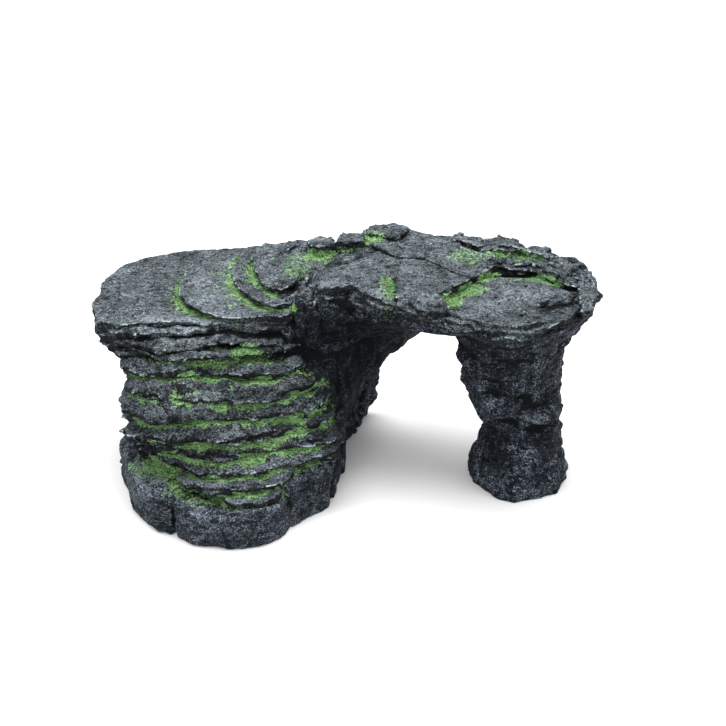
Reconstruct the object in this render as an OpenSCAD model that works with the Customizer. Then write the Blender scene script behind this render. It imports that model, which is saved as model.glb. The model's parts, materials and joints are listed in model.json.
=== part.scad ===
// Rock cave ornament: stepped ramp, basking platform, broken slab bridge and pillar.
// Millimetres, +Z up, standing on z = 0. The ramp faces -Y and the pillar stands at +X.

/* [Heights] */
// Top of the plinth stones
plinth_top = 20; // [16:1:24]
// Underside of the platform slab
platform_low = 85.5; // [84:0.5:87]
// Top of the platform slab
platform_top = 91; // [89:0.5:93]
// Underside of the bridge slabs
slab_low = 98; // [96:0.5:99]
// Top of the bridge slabs
slab_top = 107; // [105:0.5:110]
// Ceiling of the passage under the bridge
ceiling = 80; // [78:0.5:82]

/* [Stones] */
// How far the front of a slate hangs over the gap below it
undercut = 4; // [2:0.5:6]
// Thickness of the broken front edge of a slate
edge_t = 3.2; // [2:0.2:5]
// How far the top of a slate sits back behind its front edge
setback = 2; // [1:0.5:3]
// Depth of the chips along a broken edge
chip = 1.1; // [0:0.1:2]

/* [Pillar] */
// Centre of the pillar, left to right
pillar_x = 87; // [84:0.5:90]
// Centre of the pillar, front to back
pillar_y = -7; // [-9:0.5:-5]
// Half width of the foot
foot_r = 24.5; // [22:0.5:26]

/* [Hidden] */
join_y = 5;
join_x = -26;
cap_x = 50;
core_top = platform_low;
ledge_z = [plinth_top, 26, 31, 38.5, 46, 54, 62, 69, 75.5, ceiling, platform_low];

// Repeatable number between -1 and 1
function wob(i, s) = sin(i * 137.5 + s * 61.7) * 0.6 + sin(i * 71.3 + s * 23.1 + 40) * 0.4;

// A line of points cut into short pieces, each new point moved in or out by the chip depth
function jag(p, s, n = 3) = [
    for (i = [0 : len(p) - 2])
        for (k = [0 : n - 1])
            let (t = k / n, d = p[i + 1] - p[i], l = norm(d), w = k == 0 ? 0.4 : 1)
                p[i] + t * d + w * chip * wob(i * n + k, s) * [d[1], -d[0]] / l,
    p[len(p) - 1]];

// The same line moved straight back
function back(p, d) = [for (q = p) [q[0], q[1] + d]];

// An uneven ring of n points
function ring(cx, cy, rx, ry, n, a, s) = [
    for (i = [0 : n - 1])
        let (t = 360 * i / n, r = 1 + a * wob(i, s))
            [cx + rx * r * cos(t), cy + ry * r * sin(t)]];

module slice(z0, z1, p) {
    translate([0, 0, z0])
        linear_extrude(height = z1 - z0)
            polygon(p);
}

// One slate of the ramp: f is its front edge from left to right, r its right side back to join_y
module slate(z0, z1, f, r, left, s) {
    l = [[left, join_y]];
    e = jag(f, s);
    slice(z0, z1 - edge_t - 1, concat(l, back(e, undercut), r));
    slice(z1 - edge_t - 1, z1 - 1, concat(l, e, r));
    slice(z1 - 1, z1, concat(l, back(e, setback), r));
}

module stone(z0, z1, p, step = 1.5) {
    h = (z1 - z0) / 3;
    c = [for (k = [0 : 1]) let (m = [for (q = p) q[k]]) (min(m) + max(m)) / 2];
    slice(z0, z0 + 2 * h, p);
    slice(z0 + 2 * h, z1, [for (q = p) c + (q - c) * (1 - 0.06 * step)]);
}

// ---------------------------------------------------------------- left mass
module body_core() {
    color("dimgray") {
        slice(0, 20, [[-110, 5], [-2, 5], [0, 25], [5, 42], [9, 52], [-18, 61], [-45, 64],
            [-72, 61], [-92, 53], [-106, 38], [-112, 18]]);
        slice(20, 31, [[-106, 5], [-1, 5], [3, 25], [9, 42], [14, 52], [-18, 58], [-45, 62],
            [-70, 59], [-90, 51], [-103, 37], [-108, 19]]);
        slice(31, 46, [[-105, 5], [1, 5], [7, 22], [14, 38], [19, 48], [-18, 57], [-45, 61],
            [-70, 60], [-90, 52], [-103, 38], [-108, 20]]);
        slice(46, 60, [[-106, 5], [5, 5], [12, 17], [20, 29], [25, 38], [22, 50], [-18, 56],
            [-45, 62], [-71, 61], [-91, 53], [-104, 39], [-109, 20]]);
        slice(60, 70, [[-110, 5], [9, 5], [19, 12], [29, 21], [33, 32], [30, 50], [-20, 56],
            [-48, 64], [-73, 63], [-94, 56], [-108, 41], [-113, 20]]);
        slice(70, ceiling, [[-114, 5], [20, 5], [32, 8], [41, 16], [44, 32], [40, 50], [-22, 55],
            [-52, 66], [-76, 65], [-98, 59], [-113, 45], [-118, 20]]);
        slice(ceiling, core_top, [[-118, 5], [join_x, 5], [join_x, 57], [-56, 67], [-79, 66],
            [-101, 61], [-116, 48], [-121, 20]]);
    }
}

module plinth_left() {
    color("slategray") {
        slice(0, 17, concat([[-110, 5]], jag([[-114, -4], [-110, -22], [-104, -36], [-95, -47],
            [-85, -54], [-80, -55]], 3), [[-80, 5]]));
        slice(17, plinth_top, concat([[-108, 5]], jag([[-111, -5], [-107, -22], [-101, -34],
            [-93, -43], [-84, -50], [-80, -51]], 3), [[-80, 5]]));
    }
}

module plinth_front() {
    f = [[-80, -52], [-77, -59], [-70, -66], [-56, -70], [-40, -67], [-28, -58]];
    color("slategray") {
        slice(0, 16, concat([[-80, 5]], jag(f, 5), [[-28, 5]]));
        slice(16, plinth_top, concat([[-80, 5]], back(jag(f, 5), 3), [[-28, 5]]));
    }
}

module plinth_right() {
    f = [[-28, -55], [-18, -47], [-9, -38], [-4, -28]];
    color("slategray") {
        slice(0, 21, concat([[-28, 5]], jag(f, 7), [[-3, -8], [-2, 5]]));
        slice(21, ledge_z[1], concat([[-28, 5]], back(jag(f, 7), 3), [[-3, -8], [-2, 5]]));
    }
}

module toe_slab() {
    color("lightslategray")
        slice(plinth_top, ledge_z[1] - edge_t - 1, [[-60, -55], [-57, -61], [-52, -65],
            [-40, -64], [-33, -60], [-31, -55]]);
}

module ledge_01() {
    color("gray") {
        slice(ledge_z[0], ledge_z[1] - edge_t - 1, [[-80, 5], [-80, -46], [-74, -54], [-60, -55],
            [-31, -55], [-28, -50], [-28, 5]]);
        slice(ledge_z[1] - edge_t - 1, ledge_z[1], concat([[-80, 5], [-80, -48]],
            jag([[-77, -56], [-64, -60], [-47, -59], [-28, -53]], 11), [[-28, 5]]));
    }
}

module ledge_02() {
    color("dimgray")
        slate(ledge_z[1], ledge_z[2], [[-89, -37], [-80, -43], [-70, -48], [-56, -54], [-38, -51],
            [-25, -46], [-6, -36]], [[-3, -20], [-1, 5]], -92, 12);
}

module ledge_03() {
    color("gray")
        slate(ledge_z[2], ledge_z[3], [[-97, -38], [-84, -42], [-70, -43], [-58, -49], [-44, -45],
            [-30, -41], [-9, -34]], [[-4, -18], [1, 5]], -100, 13);
}

module ledge_04() {
    color("dimgray")
        slate(ledge_z[3], ledge_z[4], [[-105, -36], [-92, -43], [-81, -46], [-68, -47], [-55, -46],
            [-38, -43], [-13, -31]], [[-7, -17], [1, 5]], -104, 14);
}

module ledge_05() {
    color("gray")
        slate(ledge_z[4], ledge_z[5], [[-107, -32], [-99, -38], [-86, -42], [-74, -42], [-53, -41],
            [-38, -38], [-16, -31]], [[-9, -15], [5, 5]], -105, 15);
}

module ledge_06() {
    color("dimgray")
        slate(ledge_z[5], ledge_z[6], [[-106, -26], [-96, -33], [-80, -35], [-62, -35], [-47, -33],
            [-30, -33], [-16, -26]], [[-10, -12], [5, 5]], -106, 16);
}

module ledge_07() {
    color("gray")
        slate(ledge_z[6], ledge_z[7], [[-108, -18], [-98, -24], [-82, -25], [-66, -24], [-52, -23],
            [-38, -21], [-17, -16]], [[-12, -8], [9, 5]], -108, 17);
}

module ledge_08() {
    color("dimgray")
        slate(ledge_z[7], ledge_z[8], [[-109, -14], [-88, -21], [-69, -21], [-50, -19], [-34, -17],
            [-18, -12]], [[-8, -6], [12, 5]], -111, 18);
}

module ledge_09() {
    color("gray")
        slate(ledge_z[8], ledge_z[9], [[-112, -11], [-89, -18], [-70, -16], [-51, -14], [-34, -13],
            [-19, -10]], [[-2, -5], [20, 5]], -114, 19);
}

module ledge_10() {
    color("dimgray")
        slate(ledge_z[9], ledge_z[10], [[-115, -9], [-102, -14], [-88, -16], [-70, -13], [-51, -11],
            [-34, -9]], [[join_x, -8], [join_x, 5]], -118, 20);
}

// ------------------------------------------------------- platform and terraces
module platform_slab() {
    rim = jag([[-63, 70.5], [-81, 69], [-101, 63], [-113, 53], [-120, 38], [-123, 18], [-123, 3],
        [-117, -10], [-105, -16], [-89, -10], [-70, -6], [-46, -3], [-27, -3]], 21);
    color("gray") {
        slice(platform_low, platform_top - 1, concat(rim, [[join_x, -3], [join_x, 57], [-45, 66]]));
        slice(platform_top - 1, platform_top, concat([for (q = rim) [q[0] * 0.985, q[1] * 0.97]],
            [[join_x, -3], [join_x, 56], [-44, 64]]));
    }
}

module terrace_low() {
    color("slategray")
        slice(platform_top, 94.5, concat(jag([[-67, 61], [-75, 50], [-80, 38], [-82, 22], [-80, 11],
            [-75, 2], [-67, -4], [-50, -5], [-27, -6]], 23), [[join_x, -6], [join_x, 54], [-45, 62]]));
}

module terrace_mid() {
    color("lightslategray")
        slice(94.5, slab_low, concat(jag([[-57, 56], [-61, 45], [-60, 32], [-56, 14], [-49, 0],
            [-41, -7], [-27, -9]], 24), [[join_x, -9], [join_x, 52], [-42, 58]]));
}

module terrace_high() {
    color("slategray")
        slice(slab_low, 102.5, concat(jag([[-48, 50], [-47, 34], [-43, 15], [-35, 0], [-27, -8]], 25),
            [[join_x, -8], [join_x, 47]]));
}

// ------------------------------------------------------------------- bridge
module bridge_vault() {
    color("dimgray") {
        slice(ceiling, 86, [[join_x, -5], [0, -7], [20, -9], [36, -14], [cap_x, -22], [cap_x, 34],
            [36, 44], [14, 50], [join_x, 52]]);
        slice(86, 92, [[join_x, -7], [0, -8], [18, -13], [34, -21], [cap_x, -28], [cap_x, 38],
            [36, 46], [22, 53], [join_x, 52]]);
        slice(92, slab_low, [[join_x, -8], [-10, -9], [5, -13], [20, -18], [33, -28], [cap_x, -33],
            [cap_x, 43], [36, 49], [24, 55], [-4, 50], [join_x, 46]]);
    }
}

crack = [[25, 24], [15, 34], [10, 45]];
step_line = [[25, -22], [24, -10], [26, 4], [25, 24]];
notch = [[47, -36], [45, -19], [53, -6], [61, 3]];
mid_crack = [[25, 24], [38, 23], [49, 14], [61, 3]];

function rev(p) = [for (i = [len(p) - 1 : -1 : 0]) p[i]];

module slab_left() {
    color("gray") {
        slice(slab_low, 104, concat([[join_x, 44], [join_x, -5]],
            jag([[-25, -6], [-12, -10], [-5, -9], [5, -15], [14, -18], [24, -22]], 31),
            step_line, crack, [[-4, 46], [-14, 44]]));
        slice(104, slab_top + 1, concat([[-23, 41], [-23, -2]],
            jag([[-21, -3], [-12, -8], [-5, -7], [5, -13], [14, -16], [24, -20]], 31),
            step_line, crack, [[-4, 44], [-14, 42]]));
    }
}

module slab_back() {
    color("lightslategray") {
        slice(slab_low, slab_top + 1, concat(rev(crack), mid_crack, [[72, 6], [77, 20], [72, 30]],
            jag([[71, 47], [56, 49], [38, 54], [27, 59], [15, 60], [10, 55]], 32)));
    }
}

module slab_middle() {
    color("slategray")
        slice(slab_low, 106, concat(rev(step_line), jag([[26, -24], [35, -26], [46, -36]], 33),
            notch, rev(mid_crack)));
}

module slab_basin() {
    color("dimgray")
        slice(slab_low, 103, concat([[72, 6], [61, 3]], rev(notch), [[50, -38], [64, -38], [78, -38],
            [90, -31], [100, -24], [108, -14], [110, -2], [106, 8], [96, 14], [77, 20]]));
}

module rim_front() {
    e = jag([[50, -41], [56, -44], [66, -43], [76, -46], [86, -43], [95, -37], [104, -30], [112, -22]], 35);
    color("gray") {
        slice(slab_low, 101, concat(e, [[108, -14], [100, -24], [90, -31], [78, -38], [64, -38],
            [50, -38]]));
        slice(101, 105, concat(back(e, 1.5), [[108, -14], [100, -24], [90, -31], [78, -38], [64, -38],
            [50, -38]]));
    }
}

module rim_right() {
    e = jag([[112, -22], [119, -15], [122.6, -6], [122.6, 5], [117, 14]], 36);
    color("slategray") {
        slice(slab_low, 103, concat(e, [[106, 8], [110, -2], [108, -14]]));
        slice(103, slab_top, concat([for (q = e) q - [1.5, 0]], [[106, 8], [110, -2], [108, -14]]));
    }
}

module ridge_back() {
    e = jag([[117, 14], [108, 25], [97, 36], [86, 44], [71, 47]], 37);
    color("gray") {
        slice(slab_low, slab_top, concat(e, [[72, 30], [86, 28], [99, 18], [106, 8]]));
        slice(slab_top, 111, concat([for (q = e) q - [1.5, 1.5]], [[74, 34], [88, 31], [100, 21],
            [107, 11]]));
    }
}

module ridge_inner() {
    color("lightslategray")
        slice(slab_low, slab_top, [[77, 20], [96, 14], [106, 8], [99, 18], [86, 28], [72, 30]]);
}

module corner_block() {
    color("slategray")
        slice(slab_top + 1, 114, [[13, 48], [19, 44], [27, 46], [29, 53], [24, 58], [15, 58]]);
}

module back_stone_a() {
    color("gray")
        slice(slab_top + 1, 111.5, [[-19, 36], [-12, 32], [-6, 36], [-7, 42], [-14, 42], [-19, 40]]);
}

module back_stone_b() {
    color("dimgray")
        slice(slab_top + 1, 112.5, [[-5, 37], [2, 34], [7, 38], [6, 43], [-4, 44]]);
}

// ------------------------------------------------------------------- pillar
module pillar_foot() {
    color("dimgray") {
        slice(0, 7, ring(pillar_x, pillar_y, foot_r, 24, 16, 0.05, 2));
        slice(7, 18, ring(pillar_x - 0.5, pillar_y, foot_r, 23.5, 16, 0.05, 3));
        slice(18, 28, ring(pillar_x, pillar_y, foot_r - 2, 22, 16, 0.06, 4));
    }
}

module pillar_shaft() {
    color("gray") {
        slice(28, 36, ring(pillar_x - 0.5, pillar_y, 19, 19, 16, 0.05, 5));
        slice(36, 48, ring(pillar_x - 1.5, pillar_y, 20, 20, 16, 0.06, 6));
        slice(48, 60, ring(pillar_x - 4, pillar_y, 23, 21, 16, 0.05, 7));
        slice(60, 70, ring(pillar_x - 5, pillar_y, 24.5, 22.5, 16, 0.05, 8));
    }
}

module shoulder_left() {
    color("slategray")
        difference() {
            slice(40, 56, ring(pillar_x - 13, pillar_y - 12.5, 10, 10, 10, 0.08, 9));
            slice(36, 48, ring(pillar_x - 1.5, pillar_y, 20, 20, 16, 0.06, 6));
            slice(48, 60, ring(pillar_x - 4, pillar_y, 23, 21, 16, 0.05, 7));
        }
}

module shoulder_right() {
    color("slategray")
        difference() {
            slice(32, 47, ring(pillar_x + 9, pillar_y - 12, 9.5, 9.5, 10, 0.08, 10));
            slice(27, 36, ring(pillar_x - 0.5, pillar_y, 19, 19, 16, 0.05, 5));
            slice(36, 48, ring(pillar_x - 1.5, pillar_y, 20, 20, 16, 0.06, 6));
        }
}

module pillar_capital() {
    color("dimgray") {
        slice(70, 75, ring(pillar_x - 6, pillar_y, 26, 24, 16, 0.05, 12));
        slice(75, ceiling, ring(pillar_x - 6, pillar_y + 1, 28, 26, 16, 0.05, 13));
        slice(ceiling, 86, jag([[cap_x, -24], [64, -34], [82, -37], [99, -30], [111, -16], [113, 2],
            [106, 18], [90, 29], [70, 33], [cap_x, 34], [cap_x, -24]], 41, 2));
        slice(86, 92, jag([[cap_x, -28], [64, -38], [82, -40], [99, -34], [114, -19], [116, 2],
            [109, 19], [93, 33], [72, 39], [cap_x, 38], [cap_x, -28]], 42, 2));
        slice(92, slab_low, jag([[cap_x, -35], [64, -41], [84, -43], [101, -34], [116, -19], [119, 2],
            [112, 18], [95, 35], [72, 44], [cap_x, 45], [cap_x, -35]], 43, 2));
    }
}

body_core();
plinth_left();
plinth_front();
plinth_right();
toe_slab();
ledge_01();
ledge_02();
ledge_03();
ledge_04();
ledge_05();
ledge_06();
ledge_07();
ledge_08();
ledge_09();
ledge_10();
platform_slab();
terrace_low();
terrace_mid();
terrace_high();
bridge_vault();
slab_left();
slab_back();
slab_middle();
slab_basin();
rim_front();
rim_right();
ridge_back();
ridge_inner();
corner_block();
back_stone_a();
back_stone_b();
pillar_foot();
pillar_shaft();
shoulder_left();
shoulder_right();
pillar_capital();
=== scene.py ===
"""Painted resin cave ornament: every stone is a solid field of its own, meshed and painted."""

import json
import math

import bpy
import numpy as np
import openvdb as vdb
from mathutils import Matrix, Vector


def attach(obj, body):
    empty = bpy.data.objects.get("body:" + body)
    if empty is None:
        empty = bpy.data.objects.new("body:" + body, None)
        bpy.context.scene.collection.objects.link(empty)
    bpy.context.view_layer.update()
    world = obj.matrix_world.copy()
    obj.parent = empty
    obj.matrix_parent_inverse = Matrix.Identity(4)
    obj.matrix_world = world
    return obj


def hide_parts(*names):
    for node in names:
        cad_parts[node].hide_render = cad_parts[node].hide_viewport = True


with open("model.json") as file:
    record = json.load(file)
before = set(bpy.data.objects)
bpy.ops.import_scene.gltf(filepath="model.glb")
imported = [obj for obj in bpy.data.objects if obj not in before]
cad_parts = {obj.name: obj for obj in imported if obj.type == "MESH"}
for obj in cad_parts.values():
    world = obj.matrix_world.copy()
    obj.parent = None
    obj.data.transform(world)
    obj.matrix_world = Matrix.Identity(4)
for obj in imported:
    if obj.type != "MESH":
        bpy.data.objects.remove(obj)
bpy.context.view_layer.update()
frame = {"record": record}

# ------------------------------------------------------------------ the shared grid, in mm
H = 0.66  # one cell
LO = np.array([-131.0, -79.0, -4.0])
HI = np.array([131.0, 79.0, 121.0])
N = np.ceil((HI - LO) / H).astype(int) + 1
EMPTY = 9.0  # what the field says far from every stone
MARGIN = 4  # spare cells around a block
WORLD = np.full(tuple(N), EMPTY, np.float32)  # all the stones together


class Block:
    """A box of the shared grid and its coordinates."""

    def __init__(self, lo, hi):
        self.i = np.maximum(((np.array(lo, float) - LO) / H).astype(int) - MARGIN, 0)
        self.j = np.minimum(((np.array(hi, float) - LO) / H).astype(int) + MARGIN + 2, N)
        ax = [LO[k] + H * np.arange(self.i[k], self.j[k]) for k in range(3)]
        self.ax = [a.astype(np.float32) for a in ax]
        self.x = self.ax[0][:, None, None]
        self.y = self.ax[1][None, :, None]
        self.z = self.ax[2][None, None, :]
        self.X, self.Y = np.meshgrid(self.ax[0], self.ax[1], indexing="ij")


def block_of(points, z0, z1):
    """The block around an outline between two heights."""
    p = np.array(points, float)
    pad = 3.0
    lo, hi = p.min(0) - pad, p.max(0) + pad
    return Block((lo[0], lo[1], z0 - 1), (hi[0], hi[1], z1 + 1))


# ------------------------------------------------------------------ noise
AXIS_KEYS = (73856093, 19349663, 83492791)
SEED_KEY = 2654435761
MIX_KEYS = (0x9E3779B1, 0x85EBCA77, 0xC2B2AE3D)
FIRST = 4096  # keeps the lattice numbers positive
GAIN3, GAIN2 = 2.6, 2.0  # bring the smoothed lattice back to about -1 to 1


def lattice(i0, shape, seed):
    """Repeatable numbers between -1 and 1 at whole lattice points."""
    a, b, c = [(np.arange(i0[k], i0[k] + shape[k]) + FIRST).astype(np.uint64) for k in range(3)]
    h = a[:, None, None] * np.uint64(AXIS_KEYS[0])
    h = h ^ (b[None, :, None] * np.uint64(AXIS_KEYS[1]))
    h = h ^ (c[None, None, :] * np.uint64(AXIS_KEYS[2]))
    h = h ^ np.uint64(seed * SEED_KEY % (1 << 40))
    for m in MIX_KEYS:
        h = (h ^ (h >> np.uint64(15))) * np.uint64(m) & np.uint64(0xFFFFFFFFFFFF)
    h = (h >> np.uint64(16)) & np.uint64(0xFFFFFF)
    return (h.astype(np.float32) / (0xFFFFFF / 2) - 1.0).astype(np.float32)


def spline(c, l):
    """Cubic weights of the lattice points along one axis: (first index, matrix)."""
    t = c / l
    i = np.floor(t).astype(int)
    f = t - i
    w = np.zeros((len(c), i[-1] - i[0] + 4), np.float32)
    r = np.arange(len(c))
    weights = (
        (1 - f) ** 3 / 6,
        (3 * f**3 - 6 * f**2 + 4) / 6,
        (-3 * f**3 + 3 * f**2 + 3 * f + 1) / 6,
        f**3 / 6,
    )
    for k, v in enumerate(weights):
        w[r, i - i[0] + k] += v
    return i[0], w


def noise(b, lx, ly, lz, seed):
    """Smooth noise of about -1 to 1 with features of lx, ly, lz mm."""
    parts = [spline(b.ax[k], l) for k, l in enumerate((lx, ly, lz))]
    r = lattice([p[0] for p in parts], [p[1].shape[1] for p in parts], seed)
    r = np.tensordot(parts[0][1], r, 1)
    r = np.tensordot(parts[1][1], r, (1, 1)).transpose(1, 0, 2)
    return GAIN3 * np.tensordot(r, parts[2][1], (2, 1))


def noise2(b, l, seed, ly=None):
    """The same in plan."""
    px, py = spline(b.ax[0], l), spline(b.ax[1], ly or l)
    r = lattice([px[0], py[0], 0], [px[1].shape[1], py[1].shape[1], 1], seed)[:, :, 0]
    return GAIN2 * px[1] @ r @ py[1].T


def fbm(b, l, seed, flat=1.0):
    """Lumps with smaller lumps on them."""
    return (
        noise(b, l, l, l * flat, seed)
        + 0.5 * noise(b, l * 0.47, l * 0.47, l * 0.47 * flat, seed + 1)
        + 0.25 * noise(b, l * 0.23, l * 0.23, l * 0.23 * flat, seed + 2)
    )


def crease(b, l, seed, flat=1.0):
    """Sharp ridges and rounded hollows, -1 to 1."""
    return 1 - 2 * np.minimum(np.abs(noise(b, l, l, l * flat, seed)) * 1.6, 1)


def crease2(b, l, seed):
    """The same in plan."""
    return 1 - 2 * np.minimum(np.abs(noise2(b, l, seed)) * 1.4, 1)


def layers(b, t, l, seed, bend):
    """Noise in plan that jumps from one thin layer of rock to the next."""
    q = (b.z + bend[:, :, None]) / t
    k = np.floor(q).astype(int)
    k0 = k.min()
    # each layer has its own seed
    s = np.stack([noise2(b, l, seed + 7 * (n % 97)) for n in range(k0, k.max() + 2)], -1)
    f = np.clip((q - k - 0.7) / 0.3, 0, 1)
    lo = np.take_along_axis(s, k - k0, 2)
    hi = np.take_along_axis(s, k - k0 + 1, 2)
    return lo + (hi - lo) * f


def flake(b, l, seed, high, ly=None):
    """Thin broken layers lying on a top: terraces with sharp little steps."""
    q = (noise2(b, l, seed, ly) + 0.45 * noise2(b, l * 0.4, seed + 1, ly)) * 2.2
    k = np.floor(q)
    return high * (k + step(q - k, 0.72, 1.0))


def grit(b, seed, size=2.6, flat=0.45):
    """The chiselled roughness every stone shares; it lies flat like the layers."""
    return 0.4 * crease(b, 1.3 * size, seed, flat) + 0.2 * noise(b, 2.4, 2.0, 1.0, seed + 1)


# ------------------------------------------------------------------ shapes
def smax(a, b, r):
    """The larger of two fields, rounded over r mm: what both solids share."""
    h = np.maximum(r - np.abs(a - b), 0) / r
    return np.maximum(a, b) + h * h * r * 0.25


def step(v, a, b):
    """0 below a, 1 above b, smooth between."""
    t = np.clip((v - a) / (b - a), 0, 1)
    return t * t * (3 - 2 * t)


def dist2(p, x, y):
    """Distance to a closed outline, negative inside."""
    d = np.full(x.shape, 1e9, np.float32)
    inside = np.zeros(x.shape, bool)
    for (x0, y0), (x1, y1) in zip(p, p[1:] + p[:1]):
        ex, ey = x1 - x0, y1 - y0
        wx, wy = x - x0, y - y0
        t = np.clip((wx * ex + wy * ey) / (ex * ex + ey * ey), 0, 1)
        d = np.minimum(d, (wx - t * ex) ** 2 + (wy - t * ey) ** 2)
        if ey:
            inside ^= ((y0 > y) != (y1 > y)) & (x < x0 + wy * ex / ey)
    d = np.sqrt(d)
    return np.where(inside, -d, d).astype(np.float32)


def loft(b, levels, wx=0.0, wy=0.0):
    """Side surface through outlines at rising heights."""
    zs = [z for z, _ in levels]
    d = np.stack([dist2(p, b.X + wx, b.Y + wy) for _, p in levels], -1)
    w = np.stack(
        [np.interp(b.ax[2], zs, np.eye(len(zs))[k]) for k in range(len(zs))]
    ).astype(np.float32)
    return np.tensordot(d, w, 1)


def ring(cx, cy, rx, ry, dents=(), n=14):
    """An uneven round outline: dents are (angle, width, depth)."""
    out = []
    for i in range(n):
        t = 2 * math.pi * i / n
        r = 1.0
        for a, w, d in dents:
            g = (math.degrees(t) - a + 180) % 360 - 180
            r += d * math.exp(-((g / w) ** 2))
        out.append((cx + rx * r * math.cos(t), cy + ry * r * math.sin(t)))
    return out


# ------------------------------------------------------------------ outlines
# where each slate of the ramp starts, and the line of its front
LEDGE_Z = (20, 26, 31, 38.5, 46, 54, 62, 69, 75.5, 80, 85.5)
LEDGE_F = (
    ((-82, -46), (-77, -56), (-64, -60), (-47, -59), (-33, -56), (-24, -47)),
    ((-91, -36), (-80, -43), (-70, -48), (-56, -54), (-38, -51), (-25, -46), (-5, -37), (-1, -28)),
    ((-99, -36), (-97, -39), (-84, -42), (-70, -43), (-58, -49), (-44, -45), (-30, -41), (-8, -35),
     (-3, -26)),
    ((-108, -28), (-106.5, -37), (-92, -44), (-81, -46), (-68, -47), (-55, -47), (-38, -43), (-12, -32),
     (-6, -22)),
    ((-108.5, -24), (-107, -33), (-99, -38), (-86, -42), (-74, -42), (-53, -41), (-38, -38), (-16, -33),
     (-9, -22)),
    ((-107.5, -18), (-105.5, -28), (-96, -33), (-80, -35), (-62, -35), (-47, -33), (-32, -33), (-18, -28),
     (-12, -16)),
    ((-110.3, -12), (-109, -20), (-98, -24), (-82, -25), (-66, -24), (-52, -23), (-38, -21), (-22, -18),
     (-15, -10)),
    ((-113, -8), (-109, -17), (-88, -22), (-69, -21), (-50, -19), (-36, -17), (-25, -14), (-18, -6)),
    ((-114, -6), (-108, -14), (-89, -18), (-70, -16), (-51, -14), (-36, -13), (-26, -11), (-19, -4)),
    ((-119, -4), (-112, -11), (-102, -15), (-88, -16), (-70, -13), (-51, -11), (-34, -9), (-25, -7)),
)
# the rear mass at rising heights
CORE = (
    (0, ((-98, -26), (-82, -38), (-60, -48), (-40, -48), (-20, -40), (-6, -28), (-4, -8), (-2, 25), (5, 42),
         (11, 52), (-18, 60), (-45, 63), (-72, 60), (-92, 52), (-106, 37), (-111, 15), (-108, -8))),
    (25, ((-96, -24), (-82, -34), (-60, -44), (-40, -44), (-20, -38), (-4, -28), (-3, -8), (2, 25), (9, 42),
          (16.5, 53), (-18, 58), (-45, 62), (-70, 59), (-90, 51), (-103, 37), (-108, 18), (-104, -6))),
    (45, ((-98, -24), (-82, -34), (-60, -36), (-40, -34), (-22, -30), (-10, -22), (-3, -8), (8, 10),
          (15, 25), (24, 42), (24, 52), (-18, 57), (-45, 61), (-70, 60), (-91, 52), (-104, 38), (-108, 18),
          (-104, -6))),
    (62, ((-98, -16), (-82, -20), (-60, -21), (-40, -20), (-22, -18), (-14, -12), (-4, -3), (13, 6),
          (27, 16), (35, 29), (35, 50), (-20, 56), (-48, 63), (-73, 63), (-93, 55), (-107, 40), (-111, 18),
          (-106, -4))),
    (74, ((-100, -8), (-82, -11), (-60, -10), (-40, -9), (-22, -6), (-14, -4), (0, -1), (24, 5), (38, 12),
          (44, 26), (42, 50), (-20, 55), (-50, 65), (-76, 65), (-98, 58), (-113, 44), (-117, 20), (-112, 0))),
    (88, ((-102, -6), (-82, -8), (-60, -7), (-40, -6), (-22, -4), (-14, -4), (0, -4), (30, -4), (44, 4),
          (46, 24), (44, 50), (-20, 56), (-52, 67), (-78, 67), (-101, 60), (-116, 47), (-120, 20),
          (-115, 2))),
)
# the platform at its rim, under the rim and at its foot
PLATFORM = ((-63, 69), (-81, 67.3), (-101, 62), (-114, 53), (-121, 38), (-122.5, 18), (-122, 3),
            (-119.5, -9), (-110, -13), (-94, -10), (-79, -8), (-66, -10), (-46, -11), (-28, -11), (-18, 0),
            (-18, 30), (-22, 56), (-45, 67))
PLATFORM_LOW = ((-63, 66), (-79, 64), (-98, 58), (-110, 50), (-117, 36), (-121, 18), (-121, 4), (-116, -7),
                (-105, -11), (-89, -8), (-70, -6), (-46, -5), (-24, -5), (-20, 30), (-24, 54), (-45, 63))
SHELF = ((-63, 60), (-78, 58), (-94, 53), (-103, 46), (-109, 33), (-112, 16), (-112, 3), (-107, -6),
         (-100, -8), (-85, -5), (-68, -3), (-46, -2), (-24, -2), (-22, 28), (-26, 50), (-45, 58))
# outline of the bridge deck at its lip and at its top
DECK_LOW = ((-31, -3), (-24, -6), (-15, -9), (-5, -7), (3, -9), (13, -17), (21, -19), (33, -27), (46, -33),
            (52, -38), (62, -38), (72, -41), (82, -42), (92, -37), (102, -30), (110, -21), (117, -12),
            (120, -2), (119, 8), (112, 20), (98, 33), (86, 42), (71, 45), (56, 47), (38, 52), (27, 57),
            (15, 57), (4, 48), (-5, 44), (-26, 46))
DECK_TOP = ((-31, 8), (-26, 12), (-20, 5), (-12, -8), (-4, -5), (4, -8), (12, -18), (21, -21), (34, -28),
            (47, -31), (51, -37), (60, -41), (70, -42), (80, -45), (90, -41), (98, -37), (108, -30),
            (117, -22), (121.8, -10), (122.6, 3), (117.5, 17), (106, 30), (97, 37), (84, 44), (71, 46),
            (56, 47), (38, 52), (28, 58), (15, 59), (9, 53), (2, 47), (-6, 45), (-16, 44), (-28, 46))


# ------------------------------------------------------------------ the stones
def put(b, d):
    """The finished field of a stone, flat on the floor."""
    d = np.maximum(d, -b.z)
    s = tuple(slice(b.i[k], b.j[k]) for k in range(3))
    np.minimum(WORLD[s], d, out=WORLD[s])
    return b, d


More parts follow.
